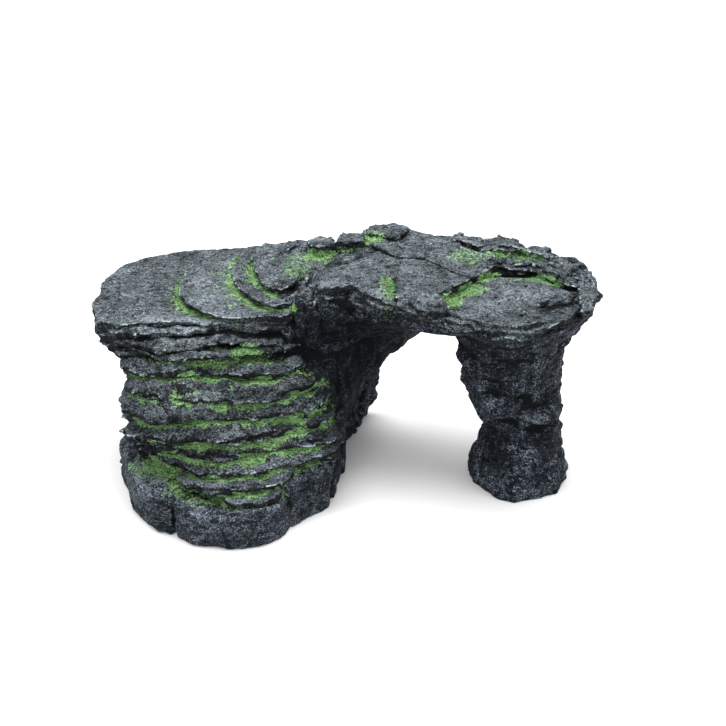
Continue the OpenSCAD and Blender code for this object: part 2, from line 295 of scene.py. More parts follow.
def body_core():
    """The rear mass: upright folds on the cave wall, layers on the ramp side and the back."""
    b = Block((-124, -60, 0), (52, 72, 90))
    bend = 2.0 * noise2(b, 40, 3)
    d = loft(b, CORE, 1.5 * noise2(b, 14, 1), 1.5 * noise2(b, 14, 2))
    right = step(b.x, -20, 0)
    d = d + 1.6 * fbm(b, 17, 11) + 0.8 * right * noise(b, 4.5, 4.5, 26, 12)
    d = d + 0.8 * right * crease(b, 3.2, 13, 5) + 0.4 * right * noise(b, 1.8, 1.8, 8, 15)
    d = d + (1 - right) * 0.9 * layers(b, 3.2, 12, 20, bend)
    back = step(b.y, 4, 26)
    strata = 1.1 * layers(b, 6.5, 18, 25, 2.2 * bend) + 0.9 * crease(b, 9, 27, 0.6)
    return put(b, smax(d + back * (strata + 0.7 * grit(b, 28, 3.2)), b.z - 87, 2))


def plinth(outline, top, seed):
    """A rounded base stone that draws in just above the floor."""
    b = block_of(outline, 0, top + 2)
    d = dist2(list(outline), b.X + 0.9 * noise2(b, 7, seed), b.Y + 0.9 * noise2(b, 7, seed + 1))
    d = d[:, :, None] + 1.0 * fbm(b, 11, seed + 2) + 1.2 * grit(b, seed + 5, 3.4)
    d = d + 1.5 * step(-b.z, -7, 3) ** 2 * 0.35
    t = b.z - (top - 1.2 + 0.9 * noise2(b, 12, seed + 6) + 0.3 * noise2(b, 3, seed + 8))[:, :, None]
    return put(b, smax(d, t + 0.7 * grit(b, seed + 9, 2.4), 3.5))


def plinth_left():
    p = ((-80, 5), (-111, 5), (-114, -4), (-110.5, -22), (-105.5, -36), (-98.5, -49), (-90.5, -57.5),
         (-84, -61), (-80, -58), (-77, -48), (-77, 5))
    return plinth(p, 22, 100)


def plinth_front():
    p = ((-82, 5), (-82, -50), (-80.5, -62), (-73, -70), (-57, -72), (-41, -69.5), (-30.5, -62), (-27, -53),
         (-26, 5))
    return plinth(p, 20, 120)


def plinth_right():
    p = ((-34, 5), (-34, -54), (-26, -53), (-19, -45), (-8.5, -38), (-6, -29), (-5, -8), (-4, 5))
    return plinth(p, 27, 140)


def toe_slab():
    p = ((-60, -54), (-57, -61), (-52, -66), (-40, -65), (-33, -61), (-30, -54))
    b = block_of(p, 17, 25)
    d = dist2(list(p), b.X + noise2(b, 5, 161), b.Y + 0.8 * noise2(b, 4, 162))[:, :, None]
    top = 22.6 + 0.15 * (b.y + 58) + 0.25 * noise2(b, 4, 163)[:, :, None]
    return put(b, smax(smax(d + 0.3 * noise(b, 2.5, 2.5, 2, 164), b.z - top, 0.8), 18 - b.z, 1))


SHOWN = 3.2  # how much of the next slate's front stays in sight
LEDGE_BACK = 4  # where the slates end, inside the rear mass


def ledge(k):
    """Slate k of the ramp: a sloping top, a chipped overhanging front and a gap below it."""
    z0, z1 = LEDGE_Z[k], LEDGE_Z[k + 1]
    # the top climbs up the next slate's front; the last slate lies under the platform
    rise = (LEDGE_Z[k + 2] - SHOWN - z1) if k < 9 else 1.5
    f = list(LEDGE_F[k])
    p = [(f[0][0] + 1, LEDGE_BACK)] + f + [(f[-1][0] + 1, LEDGE_BACK)]
    s = 200 + 20 * k
    b = block_of(p, z0 - 2, z1 + rise)
    jag = 0.8 * noise2(b, 9, s) + 0.8 * noise2(b, 3.4, s + 1) + 0.4 * noise2(b, 1.8, s + 2)
    block = 1.6 * np.round(1.6 * noise2(b, 12, s + 3, 30)) / 1.6
    d2 = dist2(p, b.X + 0.8 * noise2(b, 5, s + 4), b.Y) + jag + block
    lift = 1.2 * noise2(b, 26, s + 5, 60) + 0.5 * noise2(b, 7, s + 6)
    # below the top edge comes a lip t thick, and under it a gap that closes at the right end
    q = z1 + lift[:, :, None] - b.z
    t = (2.7 + 1.3 * noise2(b, 8, s + 7))[:, :, None]
    ends = 1 - step(b.X, f[-1][0] - 16, f[-1][0] - 3)
    cut = (ends * (3.0 + 1.2 * noise2(b, 14, s + 14)))[:, :, None]
    d = d2[:, :, None] + 0.9 * layers(b, 1.0, 4.5, s + 8, lift) + 1.2 * layers(b, 2.7, 13, s + 15, lift)
    rough = grit(b, s + 16)
    d = d + cut * step(q, t, t + 1.0) + 0.3 * q * (q > 0) + rough
    top = np.clip(-d2, 0, 20) * 0.62
    top = np.minimum(top, rise + 0.4 * noise2(b, 6, s + 9))
    top = top + flake(b, 8, s + 10, 0.5, 4)
    return put(b, smax(smax(d, b.z - (z1 + lift + top)[:, :, None] + 0.4 * rough, 0.35), z0 - 2.0 - b.z, 1))


def slab(p, z0, z1, seed, tilt, under, edge, lay, rim, bump, layer):
    """A broken flat stone: tilt is its top's slope, under is how far its foot sits back.

    edge wanders its outline, lay and layer are the depth and thickness of its layers,
    rim rounds its upper edge and bump roughens its top.
    """
    p = list(p)
    b = block_of(p, z0 - 1, z1 + 3)
    wx = 0.8 * noise2(b, 10, seed) + 0.5 * noise2(b, 4, seed + 1)
    wy = 0.8 * noise2(b, 10, seed + 2) + 0.5 * noise2(b, 4, seed + 3)
    d = dist2(p, b.X + edge * wx, b.Y + edge * wy)[:, :, None]
    bend = 0.8 * noise2(b, 25, seed + 4) + 0.3 * noise2(b, 8, seed + 5)
    low = np.clip((z1 - b.z) / max(z1 - z0, 1), 0, 1)
    rough = grit(b, seed + 12, 2.4)
    d = d + lay * layers(b, layer, 5, seed + 6, bend) + under * low**1.5 + 0.8 * rough
    c = np.mean(p, 0)
    top = z1 + tilt[0] * (b.X - c[0]) + tilt[1] * (b.Y - c[1])
    rolling = 0.3 * noise2(b, 11, seed + 7) + flake(b, 13, seed + 8, 0.28)
    top = top + bump * (rolling + 0.14 * noise2(b, 2.3, seed + 10))
    return b, smax(smax(d, b.z - top[:, :, None] + 0.45 * bump * rough, rim), z0 - b.z, 1)


def platform_slab():
    b = Block((-130, -20, 60), (-12, 75, 96))
    w = 1.0 * noise2(b, 12, 501) + 0.5 * noise2(b, 4, 502)
    d = loft(b, ((62, SHELF), (76, PLATFORM_LOW), (86, PLATFORM), (93, PLATFORM)), w, 0.8 * noise2(b, 9, 500))
    bend = 1.5 * noise2(b, 30, 503)
    rough = grit(b, 510, 2.4)
    d = d + 0.9 * layers(b, 1.3, 6, 504, bend) + 0.9 * layers(b, 3.4, 16, 511, bend) + rough
    top = 90.4 + 0.5 * noise2(b, 16, 506) + 0.012 * (b.X + 60) + flake(b, 20, 507, 0.3)
    floor = 64 + 3 * noise2(b, 14, 508)
    d = smax(d, b.z - top[:, :, None] + 0.4 * rough, 0.7)
    return put(b, smax(d, floor[:, :, None] - b.z, 3))


def terrace_low():
    p = ((-64, 62), (-74, 47), (-80, 36), (-83, 24), (-82, 13), (-78, 3), (-68, -7), (-60, -12), (-45, -13),
         (-31, -13), (-26, -9), (-22, 2), (-20, 54), (-45, 63))
    return put(*slab(p, 89, 93.8, 520, (0.02, 0), 2.0, 0.8, 0.8, rim=0.5, bump=1.0, layer=1.1))


def terrace_mid():
    p = ((-51, 58), (-56, 48), (-58, 34), (-55, 17), (-50, 7), (-43, -3), (-34, -8), (-28, -6), (-22, 2),
         (-20, 53), (-42, 58))
    return put(*slab(p, 92, 97.4, 540, (0.07, 0), 2.5, 0.9, 0.9, rim=0.5, bump=1.0, layer=1.1))


def terrace_high():
    p = ((-42, 53), (-47, 42), (-46, 27), (-42, 14), (-37, 5), (-31, -1), (-27, 3), (-22, 12), (-18, 50))
    return put(*slab(p, 95, 101.8, 560, (0.09, 0.01), 2.5, 0.9, 0.9, rim=0.5, bump=1.0, layer=1.1))


def bridge_vault():
    b = Block((-36, -42, 70), (60, 60, 101))
    lv = (
        (72, ((-32, -7), (-14, -9), (0, -5), (25, 6), (43, 8), (52, 14), (54, 30), (40, 44), (14, 50),
              (-30, 50))),
        (84, ((-32, -10), (-16, -13), (0, -9), (22, -7), (41, -10), (54, -14), (54, 36), (36, 46), (14, 52),
              (-30, 52))),
        (92, ((-32, -7), (-18, -12), (-5, -10), (6, -12), (20, -18), (34, -23), (56, -28.5), (56, 42),
              (36, 49), (22, 55), (-30, 50))),
        (99, DECK_LOW),
    )
    w = noise2(b, 9, 601)
    d = loft(b, lv, w, noise2(b, 9, 602))
    d = d + 0.8 * fbm(b, 9, 603) + 0.7 * layers(b, 2.2, 8, 604, 1.5 * noise2(b, 22, 605))
    d = d + 0.9 * (1 - step(b.x, 5, 25)) * crease(b, 3.8, 607, 4) + grit(b, 608, 3)
    # the passage's ceiling hangs lower towards the cave wall
    under = 83 + 0.01 * np.clip(b.X - 38, 0, 30) ** 2 - 0.3 * np.clip(35 - b.X, 0, 60)
    under = under + 1.2 * noise2(b, 14, 606)
    d = smax(d, under[:, :, None] - b.z, 3)
    return put(b, smax(smax(d, b.z - 99.5, 1.5), b.x - 56, 1))


def wander(b):
    """How far the deck's edge strays from its drawn line, in x and y."""
    wx = 0.9 * noise2(b, 11, 641) + 0.6 * noise2(b, 4.3, 642)
    wy = 0.9 * noise2(b, 11, 643) + 0.6 * noise2(b, 4.3, 644)
    return wx, wy


def lip(b):
    """How far a point of the plan lies inside the deck's broken edge."""
    wx, wy = wander(b)
    return -dist2(list(DECK_TOP), b.X + wx, b.Y + wy) + 2.2 * noise2(b, 8, 649) + 0.9 * noise2(b, 2.8, 650)


def deck_edge(b, bend, rough):
    """The deck's outer side: flat layers, and upright folds at the left."""
    d = loft(b, ((96, DECK_LOW), (104, DECK_TOP), (114, DECK_TOP)), *wander(b))
    left = 1 - step(b.x, -10, 12)
    flat = 0.65 * layers(b, 1.4, 5, 647, bend) + 0.6 * noise(b, 6, 6, 5, 653)
    flat = flat + 0.9 * layers(b, 3.6, 11, 655, bend)
    d = d + (1 - 0.6 * left) * flat + rough
    return d + left * (2.0 * crease(b, 4.8, 656, 3) + 0.6 * noise(b, 2, 2, 7, 660))


def break_front(b, height):
    """Two broken tiers along the deck's front edge, and a crumbly rim behind them."""
    e = lip(b)
    front = step(-b.Y, -2, 8) * step(b.X, 22, 34) * (1 - step(b.X, 88, 98))
    chips = 0.6 + 0.9 * step(noise2(b, 10, 651), -0.4, 0.3)
    height = height - front * (chips * 1.5 * (1 - step(e, 4.6, 5.2)) + 2.2 * (1 - step(e, 1.8, 2.3)))
    crumbs = 0.5 * crease2(b, 3.5, 652) * (1 - step(e, 7, 10))
    return height + front * (1.2 * np.exp(-(((e - 6.6) / 1.5) ** 2)) + crumbs)


def deck(p, z1, seed, top, z0=97.4, gap=-0.4, chip=0.0, rim=0.5, wild=0.5):
    """A stone of the bridge deck: its outer side is the deck's, its joints mate with its neighbours'.

    top shapes the height around z1, gap opens the joint, chip breaks it, rim rounds the
    upper edge and wild roughens the top.
    """
    b = block_of(p, z0 - 1, z1 + 5)
    bend = 1.2 * noise2(b, 28, 645) + 0.4 * noise2(b, 9, 646)
    rough = grit(b, 648, 2.6)
    d = deck_edge(b, bend, rough)
    wx, wy = wander(b)
    own = dist2(list(p), b.X + 0.5 * wx, b.Y + 0.5 * wy) + (gap(b) if callable(gap) else gap)
    d = smax(d, own[:, :, None] + chip * (0.9 * layers(b, 1.3, 4, seed, bend) + rough), 0.3)
    height = break_front(b, z1 + top(b) + 0.3 * noise2(b, 12, 657) + flake(b, 15, 658, 0.3))
    return put(b, smax(smax(d, b.z - height[:, :, None] + wild * rough, rim), z0 - b.z, 1))


def crack(b):
    """The gap along the front of the back slab; it narrows to nothing at the left."""
    return 1.5 + 0.2 * noise2(b, 5, 659) - 2.0 * (1 - step(b.X, 12, 19))


def left_top(b):
    """The slab proper, and the lower mossy slope that climbs behind its upper left edge."""
    s = ((b.X + 19) * 28 - (b.Y - 5) * 35) / 44.8 + 0.9 * noise2(b, 5, 618)
    slope = -4.4 + 0.07 * (b.X + 25) + 0.04 * b.Y + 0.8 * noise2(b, 6, 617)
    notch = step(b.X + 1.8 * noise2(b, 6, 619), 19, 22.5) * (1 - step(b.Y + 2 * noise2(b, 5, 616), -4, 9))
    e = lip(b)
    teeth = 3.4 * step(-crease2(b, 5.5, 614), -0.5, 0.1) * step(-e, -6, -2) * (1 - step(b.X, -17, -9))
    return slope + (0.3 - slope) * step(s, -0.6, 0.7) - 2.4 * notch - teeth


def slab_left():
    p = ((-30, 47), (-33, 20), (-33, -4), (-12, -14), (5, -22), (25, -28), (25, -10), (26, 4), (25, 24),
         (15, 34), (10, 46), (9, 56), (-10, 50))
    return deck(p, 107, 620, left_top)


def slab_back():
    p = ((25, 24), (38, 23.5), (49, 14), (61, 3), (71, 12), (76, 20), (70, 32), (60, 38), (56, 52),
         (38, 60), (27, 64), (13, 64), (9, 56), (10, 46), (15, 34))
    return deck(p, 107.7, 630, lambda b: -0.04 * np.clip(b.X - 45, 0, 40) + 0.02 * (b.Y - 30), gap=crack)


def slab_middle():
    p = ((25, -32), (46, -38), (48, -26), (45, -14), (52, -6), (61, 3), (49, 14), (38, 23.5), (25, 24),
         (26, 4), (25, -10))
    return deck(p, 107.1, 640, lambda b: -1.6 * step(-b.Y, 12, 34) + 0.9 * step(-b.Y, -8, 4), chip=0.9)


# the mossy ridge across the basin's back
INNER = ((62, 14), (70, 16.5), (76, 16), (83, 14), (91, 13), (100, 8), (109, 1), (115, 0), (114, 12),
         (106, 21), (97, 27), (87, 35), (77, 38), (67, 36), (58, 38), (62, 26))


def basin_top(b):
    """A flat basin with a groove at the foot of the mossy ridge."""
    groove = 2.4 * np.exp(-((dist2(list(INNER), b.X, b.Y) / 4.5) ** 2))
    return 0.8 * step(b.X, 60, 90) - groove - 0.4 * np.abs(noise2(b, 20, 653, 5))


def slab_basin():
    p = ((40, -40), (60, -48), (85, -50), (100, -42), (112, -16), (113, -2), (108, 14), (96, 24), (76, 30),
         (50, 24), (44, 0))
    return deck(p, 103.2, 650, basin_top)


def rim_top(b):
    """The front rim stands proud along a slanting line and falls away outside it."""
    s = ((b.X - 84) * 23 - (b.Y + 26) * 34) / 41 + 1.2 * noise2(b, 6, 662)
    fall = 1.8 * np.exp(-((s / 2.2) ** 2)) - np.minimum(0.5 * np.clip(s - 1, 0, 30), 6.0)
    return fall + 1.0 * crease2(b, 5, 661) + flake(b, 7, 663, 0.7, 4)


def rim_front():
    p = ((72, -54), (112, -54), (127, -22), (117, -6), (104, -10), (93, -19), (84, -27), (76, -36))
    return deck(p, 104.6, 660, rim_top, z0=94, gap=0.0, chip=1.4, rim=0.6, wild=1.6)


def rim_right():
    p = ((112, -30), (128, -30), (130, 16), (118, 26), (104, 20), (110, 8), (113, -4), (110, -14))
    rough = lambda b: 1.4 * crease2(b, 6, 671) + flake(b, 6, 672, 0.6)
    return deck(p, 105.9, 670, rough, z0=96, gap=0.0, chip=1.4, wild=1.6)


def ridge_back():
    p = ((120, 14), (109, 30), (96, 42), (72, 50), (54, 50), (55, 43), (60, 36), (67, 31), (77, 34),
         (87, 31), (97, 24), (109, 12))
    rise = lambda b: 1.3 * crease2(b, 7, 681) - 0.17 * np.clip(b.X - 82, 0, 15) + 0.9 * noise2(b, 4, 682)
    return deck(p, 109.6, 680, rise, z0=97, gap=0.0, chip=1.8, wild=1.6)


def ridge_inner():
    front = lambda b: np.exp(-(((b.Y - 19 + 0.35 * (b.X - 88) * (b.X > 88)) / 4.5) ** 2))
    rise = lambda b: 2.0 * front(b) + 1.0 * crease2(b, 6, 691)
    return deck(INNER, 105.8, 690, rise, z0=97, gap=0.0, chip=2.0, wild=1.5)


def corner_block():
    p = ((10, 46), (17, 41), (27, 42), (32, 50), (27, 57), (14, 58))
    return put(*slab(p, 104, 111.4, 780, (-0.08, 0), 0.5, 0.9, 1.0, rim=0.8, bump=1.2, layer=1.6))


def back_stone_a():
    p = ((-19, 37), (-13, 32), (-5, 34), (-6, 41), (-13, 44), (-20, 42))
    return put(*slab(p, 98, 110.2, 800, (0.12, -0.04), 0.5, 0.6, 0.8, rim=0.5, bump=1.5, layer=2.2))


def back_stone_b():
    p = ((-5, 37), (1, 34), (9, 37), (9, 45), (-2, 47))
    return put(*slab(p, 98, 111.4, 820, (0.06, -0.03), 0.5, 0.6, 0.8, rim=0.5, bump=1.5, layer=2.2))


def rocky(b, d, seed, big, l):
    """Lumps, flat layers and pits of the pillar's rock."""
    d = d + big * fbm(b, l, seed, 0.75) + 0.6 * layers(b, 3.0, 8, seed + 5, 2.5 * noise2(b, 22, seed + 6))
    return d + 0.5 * crease(b, 7, seed + 7, 0.6) + 0.6 * grit(b, seed + 8, 2.4, 0.6)


FOOT = ((61, -4), (63, -15), (74, -28), (83.5, -33.5), (94, -31), (105, -25), (112, -12), (111, 4),
        (101, 13), (86, 16), (69, 12))


def pillar_foot():
    b = Block((56, -38, 0), (118, 22, 32))
    lv = (
        (0, FOOT),
        (8, ((62, -4), (64.5, -14), (74, -27), (83.5, -32), (94, -29), (105.5, -23), (111.5, -11), (111, 4),
             (101, 13), (86, 16), (69, 12))),
        (18, ((65.5, -4), (68, -13), (76, -24), (84, -27), (94, -25.5), (103, -19), (108.5, -8), (107, 4),
              (99, 12), (86, 14), (72, 10))),
        (30, ((69.5, -5), (71.5, -13), (78, -20.5), (84, -23), (95, -21), (105, -14), (109, -5), (106, 4),
              (97, 10), (86, 11), (74, 7))),
    )
    d = rocky(b, loft(b, lv), 840, 0.6, 12)
    top = 29.5 + 1.5 * noise2(b, 10, 850) + 1.5 * step(b.X, 98, 106)
    return put(b, smax(d, b.z - top[:, :, None], 2.5))


def ball(b, cx, cy, cz, rx, ry, rz):
    """Distance from the middle of an ellipsoid, 1 on its surface."""
    return np.sqrt(((b.x - cx) / rx) ** 2 + ((b.y - cy) / ry) ** 2 + ((b.z - cz) / rz) ** 2)


def pillar_shaft():
    b = Block((54, -36, 24), (112, 24, 74))
    lv = (
        (26, ring(88, -6, 18.0, 16)),
        (34, ring(87.5, -6, 18.8, 16.5)),
        (45, ring(85, -7, 22.7, 18.5)),
        (56, ring(82, -7, 25.8, 20.5)),
        (72, ring(81, -7, 25.4, 23.5)),
    )
    d = rocky(b, loft(b, lv), 860, 1.3, 13)
    hollows = ((87, -29.5, 52, 6, 5.5, 8.5), (75, -26, 40, 12, 7.5, 4.5), (98, -23, 36, 9, 6, 3.5))
    for hollow in hollows:
        d = smax(d, -5.0 * (ball(b, *hollow) - 1) + 0.8 * noise(b, 4, 4, 3, 870), 3.5)
    return put(b, smax(smax(d, b.z - 72, 2), 26 - b.z, 2))


def lump(cx, cy, cz, rx, ry, rz, seed):
    """A round stone half sunk in the pillar."""
    b = Block((cx - rx - 3, cy - ry - 3, cz - rz - 3), (cx + rx + 3, cy + ry + 3, cz + rz + 3))
    q = ball(b, cx, cy, cz, rx, ry, rz)
    return put(b, rocky(b, (q - 1) * min(rx, ry, rz), seed, 1.0, 9))


def shoulder_left():
    return lump(75.5, -20.5, 53.5, 10.5, 10.5, 9, 880)


def shoulder_right():
    return lump(97, -18, 47, 8.5, 10, 8.5, 890)


def pillar_capital():
    b = Block((46, -48, 64), (124, 50, 100))
    lv = (
        (68, ring(80.8, -7, 25.4, 23)),
        (76, ring(81, -7, 25.6, 25)),
        (84, ((56.5, -18), (64, -29), (80, -33), (96, -28), (108, -15), (111, 2), (104, 18), (90, 29),
              (70, 33), (50, 34))),
        (91, ((56, -23), (64, -33), (82, -38), (99, -32), (113, -18), (117, 2), (109, 19), (94, 34),
              (72, 39), (50, 39))),
        (98, ((50, -33), (61, -40.5), (73, -43), (84, -44), (101, -36), (116, -20), (120.5, 1), (114, 18),
              (96, 36), (72, 45), (50, 46))),
    )
    d = rocky(b, loft(b, lv), 900, 0.9, 12)
    d = d + 0.8 * layers(b, 2.6, 9, 920, 2.0 * noise2(b, 26, 921))
    return put(b, smax(smax(d, b.z - 99, 2), 68 - b.z, 2))


STONES = (
    body_core, plinth_left, plinth_front, plinth_right, toe_slab,
    platform_slab, terrace_low, terrace_mid, terrace_high, bridge_vault,
    slab_left, slab_back, slab_middle, slab_basin, rim_front, rim_right, ridge_back, ridge_inner,
    corner_block, back_stone_a, back_stone_b,
    pillar_foot, pillar_shaft, shoulder_left, shoulder_right, pillar_capital,
)
fields = {f.__name__: f() for f in STONES}
for n in range(10):
    fields["ledge_%02d" % (n + 1)] = ledge(n)


# ------------------------------------------------------------------ what the paint follows
def blur(a, mm):
    """Two running means along each axis."""
    r = max(1, int(round(mm / H)))
    for _ in range(2):
        for ax in range(3):
            a = np.moveaxis(a, ax, 0)
            c = np.concatenate([a[:1]] * (r + 1) + [a] + [a[-1:]] * r).cumsum(0)
            a = np.moveaxis((c[2 * r + 1 :] - c[: -2 * r - 1]) / (2 * r + 1), 0, ax)
    return a


STRIDE = 3  # the coarse grid keeps every third cell
# how much stone lies within about 0.75, 2.4 and 5.5 mm of a point
occupied = np.clip(0.5 - WORLD / (1.5 * H), 0, 1).astype(np.float32)
FINE = blur(occupied, 0.75)
WIDE = blur(occupied, 2.4)
BROAD = blur(WIDE[::STRIDE, ::STRIDE, ::STRIDE], 5.5 / STRIDE)


def sample(grid, p, stride=1):
    """The grid's value at points in mm."""
    q = np.clip((p - LO) / (H * stride), 0, np.array(grid.shape) - 1.001)
    i = q.astype(int)
    f = q - i
    out = 0
    for dx in (0, 1):
        for dy in (0, 1):
            for dz in (0, 1):
                w = np.abs(1 - dx - f[:, 0]) * np.abs(1 - dy - f[:, 1]) * np.abs(1 - dz - f[:, 2])
                out = out + w * grid[i[:, 0] + dx, i[:, 1] + dy, i[:, 2] + dz]
    return out


# where green was sprayed: centre, half size, strength, and how far it keeps to the hollows
MOSS = (
    ((-94, -35, 24), (22, 11, 5), 1.1, 0.4),
    ((-80, -50, 22), (10, 9, 4), 1.0, 0.6),
    ((-70, -60, 21), (12, 6, 4), 0.9, 0.7),
    ((-47, -18, 76), (8, 8, 5), 1.4, 0.2),
    ((-62, -30, 50), (62, 30, 27), 1.3, 1.0),
    ((-46, -54, 26), (36, 16, 9), 1.2, 0.95),
    ((-16, -30, 42), (16, 16, 24), 1.1, 0.9),
    ((-74, 12, 91), (16, 40, 4), 0.9, 1.0),
    ((-56, 14, 95), (14, 40, 5), 1.0, 0.95),
    ((-40, 18, 99), (12, 40, 5), 1.0, 0.95),
    ((-56, -9, 91), (28, 6, 4), 1.0, 0.9),
    ((-36, -4, 95), (14, 8, 5), 1.0, 0.9),
    ((-24, 24, 103), (8, 14, 3), 0.75, 0.3),
    ((-12, 34, 104.5), (10, 10, 3), 0.8, 0.3),
    ((0, 40, 106), (9, 7, 3), 0.6, 0.5),
    ((20, -5, 106), (4.5, 12, 4), 0.85, 0.3),
    ((22, -20, 100), (4, 5, 6), 0.6, 0.5),
    ((50, -13, 103), (7, 7, 3), 1.1, 0.5),
    ((59, -1, 103), (10, 7, 3), 1.3, 0.5),
    ((70, 10, 103), (8, 5, 3), 1.2, 0.6),
    ((93, 7, 103), (17, 6, 3), 1.2, 0.6),
    ((60, 28, 107), (10, 10, 4), 0.7, 0.4),
    ((84, 27, 106), (22, 8, 3), 0.9, 0.6),
    ((14, 43, 109), (6, 5, 5), 1.2, 0.5),
)


# where the dry brush was worked harder, or hardly at all: centre, half size, strength; the dark zones in the
# cave, under the bridge and on the rim's front are painted shade as well
BRUSHING_AND_SHADE = (
    ((93, -27, 45), (6, 6, 6), 1.0),
    ((-66, 16, 94), (14, 26, 4), 0.5),
    ((78, -14, 103), (26, 14, 5), 0.2),
    ((-72, -68, 14), (12, 8, 6), 0.5),
    ((-62, -9, 87), (50, 10, 7), 0.8),
    ((-98, -38, 14), (16, 20, 9), 0.55),
    ((95, -30, 101), (24, 12, 6), -0.5),
    ((86, -28, 25), (9, 6, 5), 0.6),
    ((74, -28, 52), (8, 5, 6), 0.4),
    ((88, -20, 8), (28, 18, 10), 0.35),
    ((8, -14, 106), (16, 6, 3), 0.5),
    ((-12, -4, 104), (6, 6, 4), 0.4),
    ((10, 5, 50), (40, 45, 36), -0.8),
    ((0, -6, 88), (38, 24, 10), -1.0),
    ((-55, -36, 50), (66, 30, 30), -0.4),
)


def pale(p):
    """How much harder or softer a point was brushed, and where painted shade darkens it."""
    m = np.zeros(len(p))
    for c, r, s in BRUSHING_AND_SHADE:
        m = m + s * np.clip(1.4 - (((p - np.array(c)) / np.array(r)) ** 2).sum(1), 0, 1)
    return m


def moss(p, enclosed):
    """How much green a point gets."""
    m = np.zeros(len(p))
    deep = step(enclosed, 0.50, 0.61)
    for c, r, s, k in MOSS:
        q = (((p - np.array(c)) / np.array(r)) ** 2).sum(1)
        m = np.maximum(m, s * np.clip(1.5 - q, 0, 1) * (1 - k + k * deep))
    return m


# ------------------------------------------------------------------ meshes
FLATTEN = 0.02  # how far the mesher may merge flat cells
FAR = 4.0  # the field is cut off this far from the surface


def surface(b, d):
    """Points in mm, triangles and quads of a field's surface."""
    g = vdb.FloatGrid()
    g.background = FAR
    g.copyFromArray(np.ascontiguousarray(np.clip(d, -FAR, FAR).astype(np.float32)))
    pts, tris, quads = g.convertToPolygons(isovalue=0.0, adaptivity=FLATTEN)
    return pts * H + LO + b.i * H, tris[:, ::-1], quads[:, ::-1]


def new_mesh(name, mm, tris, quads):
    me = bpy.data.meshes.new(name)
    me.vertices.add(len(mm))
    me.vertices.foreach_set("co", (mm / 1000).astype(np.float32).ravel())
    corners = np.concatenate([tris.ravel(), quads.ravel()]).astype(np.int32)
    starts = [np.arange(0, tris.size, 3), np.arange(tris.size, corners.size, 4)]
    starts = np.concatenate(starts).astype(np.int32)
    me.loops.add(len(corners))
    me.loops.foreach_set("vertex_index", corners)
    me.polygons.add(len(starts))
    me.polygons.foreach_set("loop_start", starts)
    me.update(calc_edges=True)
    me.polygons.foreach_set("use_smooth", np.ones(len(starts), bool))
    return me


def guide_paint(me, mm):
    """Store what the paint follows: sharp edges, hollows, green, and brushing with painted shade."""
    fine, wide, broad = sample(FINE, mm), sample(WIDE, mm), sample(BROAD, mm, STRIDE)
    guides = {
        "edge": 0.5 - fine,
        "hollow": wide - 0.5 + 1.1 * (broad - 0.5),
        "moss": moss(mm, 0.5 * (broad + wide) + 0.02),
        "pale": pale(mm),
    }
    for key, v in guides.items():
        me.attributes.new(key, "FLOAT", "POINT").data.foreach_set("value", v.astype(np.float32))


def show(name, data):
    ob = bpy.data.objects.new(name, data)
    bpy.context.scene.collection.objects.link(ob)
    return ob


def stone(name, b, d):
    mm, tris, quads = surface(b, d)
    me = new_mesh(name, mm, tris, quads)
    guide_paint(me, mm)
    return show(name, me)


